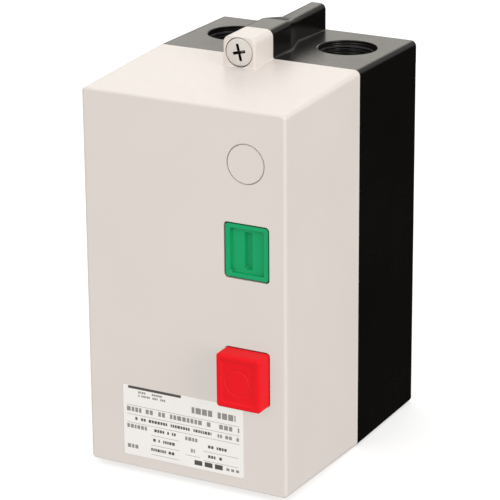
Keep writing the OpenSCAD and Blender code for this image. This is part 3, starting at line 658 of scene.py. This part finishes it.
def tab_ring(half, y_front, r, height):
    """A level ring of the tab, whose height depends on depth. Its rear edge lies on the seam."""
    points = []
    corners = ((half - 0.05, rim_y - 0.05, 0.05, 0), (0.05 - half, rim_y - 0.05, 0.05, 90),
               (r - half, y_front + r, r, 180), (half - r, y_front + r, r, 270))
    for cx, cy, radius, first in corners:
        for i in range(5):
            a = math.radians(first + 22.5 * i)
            x, y = cx + radius * math.cos(a), cy + radius * math.sin(a)
            points.append((x, y, height(y)))
    return points


def make_tab():
    """The tab, which flows into the cover's top in a hollow curve."""
    w = TAB_W / 2
    rings = [tab_ring(w + TAB_FILLET, tab_y - TAB_FILLET, TAB_FRONT_R + TAB_FILLET, lambda y: half_h - 5)]
    for a in (math.radians(90 - 15 * step) for step in range(7)):
        out, up = TAB_FILLET * (1 - math.cos(a)), TAB_FILLET * (1 - math.sin(a)) - 0.01
        rings.append(tab_ring(w + out, tab_y - out, TAB_FRONT_R + out, lambda y, up=up: cover_top(y) + up))
    for b in (math.radians(10 * step) for step in range(10)):
        z = tab_top - TAB_R + TAB_R * math.sin(b)
        c = math.asin(min(1.0, max(0.0, z - tab_top + TAB_EDGE) / TAB_EDGE))
        rings.append(tab_ring(w - TAB_R * (1 - math.cos(b)), tab_y + TAB_EDGE * (1 - math.cos(c)),
                              TAB_FRONT_R, lambda y, z=z: z))
    return loft("tab", rings)


def cover_additions():
    """What is added inside the hollow cover."""
    made = [
        rim_tube("rim", COVER_WALL - 0.2, LIP_IN + LIP_W - COVER_WALL + 0.2, rim_y - 3, rim_y),
        rim_tube("lip", LIP_IN, LIP_W, rim_y - 1, seam_y + 1.5),
    ]
    guide_w, guide_h = GUIDE_W + 2 * GUIDE_WALL, GUIDE_H + 2 * GUIDE_WALL
    for at in (start_at, stop_at):
        made.append(loft("guide", [block_ring(y, at.x, at.z, guide_w, guide_h, 3)
                                   for y in (guide_end_y, front_y + 1)]))
    top = LEDGE_W + TONGUE_PLAY + TONGUE_T - half_h
    for sx in (-1, 1):
        x0, x1 = sorted(sx * x for x in TONGUE_X)
        made.append(slab("foot", x0, x1, rim_y - 5, rim_y - 1, 1 - half_h + COVER_WALL, top))
        made.append(slab("tongue", x0, x1, rim_y - 5, seam_y + TONGUE_REACH, top - TONGUE_T, top))
    for z in STIFFENER_Z:
        for sx in (-1, 1):
            x0, x1 = sorted((sx * STIFFENER_IN, sx * (half_w - 1.5)))
            made.append(slab("stiffener", x0, x1, rim_y - 14, rim_y - 2, z - 0.8, z + 0.8))
    return made


def cover_cutters():
    """What is cut from the cover: openings, guide hollows, blank ring and the screw's seat."""
    made = []
    for at in (start_at, stop_at):
        made.append(flared("opening", at.x, at.z, OPENING_W, OPENING_H, OPENING_R, front_y, guide_end_y + 1,
                           0.3))
        made.append(loft("guide_hollow", [block_ring(y, at.x, at.z, GUIDE_W, GUIDE_H, 2)
                                          for y in (guide_end_y + 1, front_y + COVER_WALL)]))
    side = [(front_y - 1, 0.3), (front_y, 0.28), (front_y + 1.1, 0.12)]
    groove = [(y, BLANK_R + out) for y, out in side] + [(y, BLANK_R - out) for y, out in reversed(side)]
    made.append(lathe("blank_groove", start_at.x, BLANK_Z, groove, 96, closed=True))
    inner_y = front_y + COVER_WALL
    made.append(rod("blank_thin", start_at.x, BLANK_Z, inner_y - BLANK_T, inner_y + 1, BLANK_R))
    scoop = [(tab_y, head_r + 0.45), (tab_y - 4, head_r - 0.05), (tab_y - 7, head_r - 0.5)]
    made.append(lathe("scoop", 0, screw_z, scoop))
    made.append(flared_rod("seat", 0, screw_z, head_r + SEAT_GAP, tab_y, tab_y + SEAT_DEPTH, 0.1))
    made.append(rod("shaft", 0, screw_z, tab_y, rim_y + 1, SHAFT_R))
    made.append(rod("retainer_pocket", 0, screw_z, rim_y - RETAINER_DEPTH, rim_y + 1, RETAINER_R))
    return made


def make_cover():
    """The light cover: leaning walls, screw tab, button openings and guides, lip and blank ring."""
    shell = loft("cover_body", cover_rings(0, rim_y, front_y, FRONT_EDGE_R, 7))
    combine(shell, [make_tab()], "UNION")
    hollow = loft("hollow", cover_rings(COVER_WALL, rim_y + 1, front_y + COVER_WALL, 0.8, 3))
    combine(shell, [hollow], "DIFFERENCE")
    combine(shell, cover_additions(), "UNION")
    combine(shell, cover_cutters(), "DIFFERENCE")
    smooth(shell, EDGE_SOFTNESS)
    return stand_for(shell, "cover_shell")


def base_top(y):
    """Height of the base's leaning top at depth y."""
    return half_h - BASE_LEAN * (y - seam_y) / -seam_y


def base_ring(inset, y, extra=0.0):
    """A ring of the base's outline, whose top leans down towards the wall."""
    i = inset + extra
    corner = max(CORNER_R - INNER_TIGHTER * i, 1.2)
    return ring(y, i - half_w, half_w - i, i - half_h, base_top(y) - i, corner)


def base_form():
    """The base's solid outline with the boss and the rib on its top."""
    rear = [base_ring(0, y, i) for y, i in rounding(0, 1, 0.8, 3)]
    shell = loft("base_body", [base_ring(0, seam_y)] + rear)
    taper_y = seam_y + BOSS_DEPTH
    stations = [(seam_y, TAB_W, base_hi.z), (taper_y, TAB_W, base_hi.z),
                (taper_y + TAPER_DEPTH, RIB_W, rib_top), (-0.7, RIB_W, rib_top),
                (0, RIB_W - 1.2, rib_top - 0.6)]
    boss = loft("boss", [ring(y, -w / 2, w / 2, half_h - 6, top, 2.5) for y, w, top in stations])
    combine(shell, [boss], "UNION")

    def boss_root(p, edge):
        near = abs(p.z - base_top(p.y)) < 0.08
        return near and abs(p.x) < TAB_W / 2 + 0.1 and seam_y + 0.01 < p.y < -1.0 and not edge.is_convex

    def boss_top_crease(p, edge):
        return p.z > half_h + 3 and abs(p.y - taper_y) < 0.05 and edge.calc_length() < TAB_W * MM

    fillet(shell, boss_root, 1.2, 5)
    fillet(shell, boss_top_crease, 0.8, 3)
    return shell


def entry_sizes():
    """Each cable entry's name, axis, middle height, side (1 above, -1 below) and radius."""
    for entry in entries:
        x, y, z = (c / MM for c in entry["pos_m"])
        yield entry["name"], x, y, z, math.copysign(1, z), entry["dims"]["r_mm"]


def entry_cutter(x, y, side, r):
    """A cutter for a cable entry, with a rounded edge at the face."""
    face = base_top(y) if side > 0 else half_h
    profile = [(side * (half_h - ENTRY_DEPTH - 2), r), (side * (face - ENTRY_EDGE_R), r)]
    profile += [(side * (face - ENTRY_EDGE_R * (1 - math.sin(a))), r + ENTRY_EDGE_R * (1 - math.cos(a)))
                for a in (math.radians(18 * i) for i in range(1, 6))]
    profile.append((side * (face + 2), r + ENTRY_EDGE_R))
    return lathe("entry", x, y, profile, 96, axis="Z")


def wall_relief():
    """Cutters that sink the back, so that the base stands on its borders and its pads."""
    z0, z1 = 3 - half_h, half_h - 10.8
    side = half_w + 1
    return [
        slab("relief", -side, side, -PAD_T, 1, z0, z1),
        slab("relief_top", -9, 9, -PAD_T, 1, z1 - 1, half_h - 4.5),
        slab("relief_left", -9, -RIB_W / 2, -PAD_T, 1, half_h - 5, half_h + 20),
        slab("relief_right", RIB_W / 2, 9, -PAD_T, 1, half_h - 5, half_h + 20),
        slab("relief_low", -9, 9, -PAD_T, 1, -half_h - 1, z0 + 1),
    ]


def make_base():
    """The black base: leaning top, boss and rib, cable entries, ledge, posts and wall pads."""
    shell = base_form()
    floor_y = -PAD_T - BASE_WALL
    cavity = loft("cavity", [base_ring(BASE_WALL, y) for y in (floor_y, seam_y - 1)])
    combine(shell, [cavity], "DIFFERENCE")

    plate_y = box("mounting_plate")[1].y
    screws_hi = box("plate_screws")[1]
    signs = [(sx, sz) for sx in (-1, 1) for sz in (-1, 1)]
    posts = [(sx * (screws_hi.x - PLATE_SCREW_R), sz * (screws_hi.z - PLATE_SCREW_R)) for sx, sz in signs]
    additions = [rim_tube("ledge", BASE_WALL - 0.2, LEDGE_W - BASE_WALL + 0.2, seam_y, seam_y + LEDGE_T)]
    for _, x, y, z, side, r in entry_sizes():
        lo, hi = sorted((z, side * (half_h - ENTRY_DEPTH)))
        # a lower collar is carried into the wall, but an upper one ends at its entry's middle, 2 mm short
        lo = min(lo, side * (half_h - COLLAR_ROOT))
        additions.append(lathe("collar", x, y, [(lo, r + COLLAR_WALL), (hi, r + COLLAR_WALL)], axis="Z"))
    additions += [rod("post", x, z, plate_y, floor_y + 0.5, POST_R) for x, z in posts]
    combine(shell, additions, "UNION")

    cutters = wall_relief()
    cutters.append(rim_tube("groove", GROOVE_IN, GROOVE_W, seam_y - 1, seam_y + GROOVE_DEPTH))
    cutters.append(rod("insert_hole", 0, screw_z, seam_y - 1, seam_y + INSERT_DEPTH, INSERT_R))
    combine(shell, cutters, "DIFFERENCE")

    fixings = [(sx * fixing["spacing_x_mm"] / 2, sz * fixing["spacing_y_mm"] / 2) for sx, sz in signs]
    combine(shell, [rod("pad", x, z, -2, 0, PAD_R) for x, z in fixings], "UNION")
    holes = []
    for (fix_x, fix_z), (post_x, post_z) in zip(fixings, posts):
        holes.append(rod("fixing", fix_x, fix_z, floor_y - 1, 1, fixing["hole_r_mm"]))
        holes.append(rod("post_hole", post_x, post_z, plate_y - 1, -2.5, POST_HOLE_R))
    holes += [entry_cutter(x, y, side, r) for _, x, y, _, side, r in entry_sizes()]
    combine(shell, holes, "DIFFERENCE")
    smooth(shell, EDGE_SOFTNESS)
    return stand_for(shell, "base_shell")


def make_entry_threads():
    """The moulded thread in each cable entry."""
    for name, x, y, _, side, r in entry_sizes():
        near, far = side * (half_h - BASE_LEAN - 1.0), side * (half_h - ENTRY_DEPTH + 0.2)
        skin = thread_skin(name + "_thread", x, y, min(near, far), max(near, far), r - 0.02, THREAD_PITCH,
                           THREAD_DEPTH, r + ENTRY_EDGE_R)
        smooth(skin)
        go_with(skin, "base_shell", "base_plastic")


# ---------------------------------------------------------------- cover screw and label


def make_screw():
    """The captive screw: a nearly flat head with a cross recess, a neck and a rolled thread."""
    y0 = screw_lo.y
    dome, edge_r = 0.12, 0.25
    neck_r, shank_r = 1.95, 2.4
    pitch, thread_l = 0.8, 13
    thread_y = screw_hi.y - thread_l
    profile = []
    for a in (math.radians(step) for step in range(8, 90, 12)):
        profile.append((y0 + dome - dome * math.cos(a), (head_r - edge_r) * math.sin(a)))
    for a in (math.radians(step) for step in range(0, 91, 18)):
        profile.append((y0 + dome + edge_r * (1 - math.cos(a)), head_r - edge_r + edge_r * math.sin(a)))
    profile += [(y0 + HEAD_T - 0.2, head_r), (y0 + HEAD_T, head_r - 0.2), (y0 + HEAD_T, neck_r),
                (thread_y, neck_r)]
    body = lathe("screw_body", 0, screw_z, profile, 96)
    slots = []
    for length, width, turn in ((7.2, 1.2, -14), (5.8, 1.2, 76)):
        rings = []
        for y, shrink in ((y0 - 0.6, -0.05), (y0 + 0.5, 0.0), (y0 + 2.5, 0.4)):
            rings.append(block_ring(y, 0, 0, width - shrink, length - 2.2 * shrink, 0.35 - shrink * 0.5, 4))
        slot = loft("slot", rings)
        spin = Matrix.Rotation(math.radians(turn), 4, "Y")
        slot.data.transform(Matrix.Translation((0, 0, screw_z * MM)) @ spin)
        slots.append(slot)
    combine(body, slots, "DIFFERENCE")
    smooth(body, 0.1)
    stand_for(body, "cover_screw")
    thread = thread_skin("cover_screw_thread", 0, 0, 0, thread_l, neck_r + 0.02, pitch, shank_r - neck_r, 0.6,
                         32, 6)
    lay_down = Matrix.Rotation(-math.pi / 2, 4, "X")
    thread.data.transform(Matrix.Translation((0, thread_y * MM, screw_z * MM)) @ lay_down)
    smooth(thread)
    go_with(thread, "cover_screw", "plated_steel")


def plate(bm, x0, x1, z0, z1, y0, y1):
    """Adds a thin box to a bmesh, for one printed mark."""
    corners = [bm.verts.new((x, y, z)) for y in (y0, y1) for x, z in ((x0, z0), (x1, z0), (x1, z1), (x0, z1))]
    for face in ((0, 1, 2, 3), (7, 6, 5, 4), (0, 4, 5, 1), (1, 5, 6, 2), (2, 6, 7, 3), (3, 7, 4, 0)):
        bm.faces.new([corners[i] for i in face])


def make_label():
    """The rating label: a film with generic bars and rules in place of words and figures."""
    lo, hi = box("rating_label")
    x, z = (lo.x + hi.x) / 2, (lo.z + hi.z) / 2
    w, h = hi.x - lo.x, hi.z - lo.z
    film_rings = [block_ring(hi.y, x, z, w, h, 0.6)]
    film_rings += [block_ring(y, x, z, w - 2 * i, h - 2 * i, 0.6 - i) for y, i in rounding(lo.y, -1, 0.12, 3)]
    body = loft("rating_label_film", film_rings)
    smooth(body)
    stand_for(body, "rating_label")
    rng = random.Random(4)

    def mark(bm, left, right, top, height):
        """One printed block, from millimetres inside the label's left and top edges."""
        plate(bm, lo.x + left, lo.x + right, hi.z - top - height, hi.z - top, lo.y - 0.015, lo.y + 0.05)

    def marks(bm, left, right, top, height, tight=0.45):
        """A run of plain blocks, as long as a line of print."""
        at = w * left
        end = w * right
        while at < end - 0.4:
            step = height * rng.uniform(0.45, 0.95)
            if rng.random() > 0.16:
                mark(bm, at, min(at + step, end), h * top, height)
            at += step + height * tight * 0.55

    def rule(bm, left, right, top, thick=0.16):
        """A ruled line."""
        mark(bm, w * left, w * right, h * top, thick)

    dark, pale = bmesh.new(), bmesh.new()
    rule(dark, 0.045, 0.49, 0.0, 1.15)
    marks(pale, 0.50, 0.94, 0.13, 2.7, 0.35)
    for top, left, right in ((0.44, 0.10, 0.74), (0.56, 0.26, 0.44), (0.70, 0.23, 0.44), (0.84, 0.23, 0.43),
                             (0.63, 0.71, 0.87), (0.77, 0.71, 0.87)):
        marks(dark, left, right, top, 1.25)
    for i in range(3):
        rule(dark, 0.595 + 0.085 * i, 0.66 + 0.085 * i, 0.88, 2.1)
    for top, left, right, height in ((0.06, 0.13, 0.33, 0.9), (0.11, 0.13, 0.38, 0.9),
                                     (0.30, 0.03, 0.97, 2.0), (0.44, 0.79, 0.97, 1.5),
                                     (0.55, 0.03, 0.21, 1.7), (0.57, 0.52, 0.63, 1.6),
                                     (0.84, 0.03, 0.12, 1.7), (0.73, 0.54, 0.60, 1.6)):
        marks(pale, left, right, top, height)
    for left, right, tops in ((0.03, 0.97, (0.275, 0.405, 0.525)), (0.23, 0.47, (0.655, 0.795, 0.93)),
                              (0.67, 0.96, (0.725, 0.86)), (0.52, 0.64, (0.83,))):
        for top in tops:
            rule(pale, left, right, top)
    for i in range(3):
        rule(pale, 0.86 + 0.04 * i, 0.885 + 0.04 * i, 0.9, 1.2)
    for name, bm, look in (("label_marks", dark, "label_ink"), ("label_rules", pale, "label_pale_ink")):
        go_with(new_object(name, bm), "rating_label", look)


# ---------------------------------------------------------------- buttons


def cap_rings(x, z, w, h, r, pairs):
    """Rings of a cap from (y, inset) pairs."""
    return [block_ring(y, x, z, w - 2 * i, h - 2 * i, max(r - 0.7 * i, 0.5)) for y, i in pairs]


def flange_rings(lo, hi, x, z):
    """Rings of the flange that keeps a cap behind its opening, up to where the cap begins."""
    out = (hi.x - lo.x - CAP_W) / 2
    w, h = CAP_W + 2 * out, CAP_H + 2 * out
    y = front_y + COVER_WALL + 0.1
    return [block_ring(hi.y, x, z, w - 1, h - 1, 1.6), block_ring(hi.y - 0.3, x, z, w, h, 1.8),
            block_ring(y, x, z, w, h, 1.8), block_ring(y, x, z, CAP_W, CAP_H, CAP_R)]


def make_start_button():
    """The green cap: flush, with a sunk panel and an upright groove."""
    lo, hi = box("start_button")
    x, z = start_at.x, start_at.z
    rings = flange_rings(lo, hi, x, z)
    rings += cap_rings(x, z, CAP_W - 0.5, CAP_H - 0.5, CAP_R, rounding(lo.y, -1, 0.45, 5))
    rings += cap_rings(x, z, 15.4, 19.0, 1.0, [(lo.y, 0.0), (lo.y + 0.1, 0.12), (lo.y + 1.4, 0.3),
                                               (lo.y + 1.55, 0.5)])
    rings += cap_rings(x, z, 3.6, 15.8, 0.6, [(lo.y + 1.55, 0.0), (lo.y + 1.7, 0.1), (lo.y + 3.0, 0.6),
                                              (lo.y + 3.2, 1.1)])
    cap = loft("start_button_cap", rings)
    smooth(cap)
    stand_for(cap, "start_button")


def make_stop_button():
    """The red cap: raised, with a dished panel and a ring mark. It throws no coloured light."""
    lo, hi = box("stop_button")
    x, z = stop_at.x, stop_at.z
    rings = flange_rings(lo, hi, x, z)
    rings += cap_rings(x, z, CAP_W, CAP_H, CAP_R, rounding(lo.y, -1, 1.1, 7))
    rings += cap_rings(x, z, 15.3, 18.7, 1.4, [(lo.y, 0.0), (lo.y + 0.08, 0.2), (lo.y + 0.4, 0.6),
                                               (lo.y + 0.48, 1.1)])
    rings += [round_ring(lo.y + d, x, z, r) for d, r in ((0.44, 6.0), (0.7, 5.8), (0.72, 4.9), (0.46, 4.7))]
    cap = loft("stop_button_cap", rings)
    cap.visible_diffuse = False
    smooth(cap)
    stand_for(cap, "stop_button")


def make_seal(node):
    """A rubber bellows behind a cap."""
    lo, hi = box(node)
    x, z = (lo.x + hi.x) / 2, (lo.z + hi.z) / 2
    r_out = (hi.x - lo.x) / 2
    swing, skin, folds, steps = 0.9, 0.7, 2, 28
    length = hi.y - lo.y

    def wave(i):
        return swing * math.sin(2 * math.pi * folds * i / steps - math.pi / 2)

    outer = [(lo.y + length * i / steps, r_out - swing + wave(i)) for i in range(steps + 1)]
    inner = [(y, r - skin) for y, r in reversed(outer)]
    obj = lathe(node + "_bellows", x, z, outer + inner, 56, closed=True)
    smooth(obj)
    stand_for(obj, node)
    squash_with(obj)


# ---------------------------------------------------------------- refined copies of the rest


def refine(node, soften):
    """A copy of a CAD solid with its edges broken and its round faces smooth."""
    source = frame["nodes"][node]
    obj = bpy.data.objects.new(node + "_part", source.data.copy())
    bpy.context.scene.collection.objects.link(obj)
    tidy(obj, 0.5)
    smooth(obj, soften, 2, 30)
    stand_for(obj, node)


def make_rest(done):
    """Every node that has no piece of its own yet."""
    fine = {"coil_terminal_screws", "start_block_screws", "trip_contact_screws", "trip_contacts",
            "heater_strips", "bridge_contacts", "start_bridge", "stop_bridge", "start_block_contacts",
            "screw_retainer"}
    for node in frame["nodes"]:
        if node not in done:
            refine(node, 0.12 if node in fine else 0.25)


# ---------------------------------------------------------------- stage, light and camera

ROOM_UPPER = 0.9
ROOM_LOWER = 0.6
ROOM_ABOVE = 0.42
ROOM_AHEAD = 0.75


def make_floor():
    """A plain pale floor under the object."""
    bm = bmesh.new()
    z = -half_h - 0.05
    reach = 4000
    corners = ((-reach, -reach, z), (reach, -reach, z), (reach, reach, z), (-reach, reach, z))
    bm.faces.new([bm.verts.new(corner) for corner in corners])
    floor = new_object("floor", bm)
    m = Nodes("floor_paper")
    m.shader.inputs["Specular IOR Level"].default_value = 0.1
    m.shader.inputs["Emission Color"].default_value = (1, 1, 1, 1)
    m.shader.inputs["Emission Strength"].default_value = 0.56
    colour = m.mix(m.noise(60, 2), (0.5, 0.5, 0.495, 1), (0.52, 0.52, 0.515, 1))
    paper = m.finish(colour, m.spread(m.noise(9, 2), 0.75, 0.85), m.bump(m.noise(2, 2), 0.01))
    floor.data.materials.append(paper)
    floor.visible_glossy = False
    floor.visible_diffuse = False
    floor.visible_shadow = False


def softbox(name, place, size, watts, colour=(1.0, 0.975, 0.93), aim=(0, -0.06, 0)):
    """A soft area light that points at the object."""
    data = bpy.data.lights.new(name, "AREA")
    data.shape = "RECTANGLE"
    data.size, data.size_y = size
    data.energy = watts
    data.color = colour
    light = bpy.data.objects.new(name, data)
    light.location = place
    light.rotation_mode = "QUATERNION"
    light.rotation_quaternion = (Vector(aim) - Vector(place)).to_track_quat("-Z", "Y")
    bpy.context.scene.collection.objects.link(light)


def make_room():
    """An even pale room. In reflections it is dark low behind the object, so black sides stay black."""
    world = bpy.data.worlds.new("room")
    world.use_nodes = True
    bpy.context.scene.world = world
    nodes, links = world.node_tree.nodes, world.node_tree.links

    def node(kind, *inputs, **settings):
        made = nodes.new(kind)
        for key, value in settings.items():
            setattr(made, key, value)
        for key, value in inputs:
            if isinstance(value, bpy.types.NodeSocket):
                links.new(value, made.inputs[key])
            else:
                made.inputs[key].default_value = value
        return made.outputs

    direction = node("ShaderNodeSeparateXYZ", (0, node("ShaderNodeTexCoord")["Generated"]))
    above = node("ShaderNodeMapRange", ("Value", direction[2]), ("From Min", 0.0), ("From Max", 0.16),
                 ("To Max", ROOM_ABOVE))[0]
    ahead = node("ShaderNodeMapRange", ("Value", direction[1]), ("From Min", -0.2), ("From Max", -0.5),
                 ("To Max", ROOM_AHEAD))[0]
    mirrored = node("ShaderNodeMath", (0, above), (1, ahead), operation="MAXIMUM")[0]
    glossy = node("ShaderNodeLightPath")["Is Glossy Ray"]
    even = node("ShaderNodeMapRange", ("Value", direction[2]), ("From Min", -0.05), ("From Max", 0.05),
                ("To Min", ROOM_LOWER), ("To Max", ROOM_UPPER))[0]
    shade = node("ShaderNodeMix", (0, glossy), (2, even), (3, mirrored))[0]
    background = nodes["Background"]
    background.inputs[0].default_value = (1.0, 0.995, 0.985, 1)
    links.new(shade, background.inputs[1])


def make_light():
    """Soft studio light: the room, and softboxes overhead, behind, in front and to the right."""
    make_room()
    softbox("overhead", (0.1, -0.15, 1.5), (1.6, 1.6), 2.3, (0.92, 0.96, 1.06))
    softbox("behind", (-0.85, 1.5, 0.85), (1.6, 1.0), 6, (1.0, 0.95, 0.85))
    softbox("front", (-0.2, -2.2, 0.8), (1.6, 1.2), 6.8)
    softbox("right", (1.9, -0.7, 0.6), (1.0, 1.4), 15)


def make_camera():
    """The photograph's viewing angle: turned to the right of the front, above the object."""
    turn, rise, roll = math.radians(28.01), math.radians(19.81), math.radians(-0.46)
    back = Vector((math.sin(turn) * math.cos(rise), -math.cos(turn) * math.cos(rise), math.sin(rise)))
    right = Vector((math.cos(turn), math.sin(turn), 0))
    up = back.cross(right)
    x_axis = right * math.cos(roll) + up * math.sin(roll)
    y_axis = up * math.cos(roll) - right * math.sin(roll)
    data = bpy.data.cameras.new("camera")
    data.sensor_width = 36
    data.lens = 188.9
    data.clip_start, data.clip_end = 0.05, 20
    camera = bpy.data.objects.new("camera", data)
    axes = Matrix((x_axis, y_axis, back)).transposed().to_4x4()
    camera.matrix_world = Matrix.Translation((0.4835, -0.9719, 0.3718)) @ axes
    bpy.context.scene.collection.objects.link(camera)
    bpy.context.scene.camera = camera


# ---------------------------------------------------------------- the scene

make_camera()
make_cover()
make_base()
make_entry_threads()
make_screw()
make_label()
make_start_button()
make_stop_button()
spring("start_spring", 0.4, 6, "start_press")
spring("stop_spring", 0.4, 6, "stop_press")
spring("start_plunger_spring", 0.3, 6, "start_plunger_press")
spring("reset_spring", 0.35, 6, "reset_plunger_press")
spring("carrier_spring", 0.6, 3, "carrier_pull")
make_seal("start_seal")
make_seal("stop_seal")
replaced = {n for o in bpy.context.scene.objects for n in o.get("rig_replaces", [])}
make_rest(replaced)
make_floor()
make_light()
bpy.context.scene.view_settings.view_transform = "Standard"
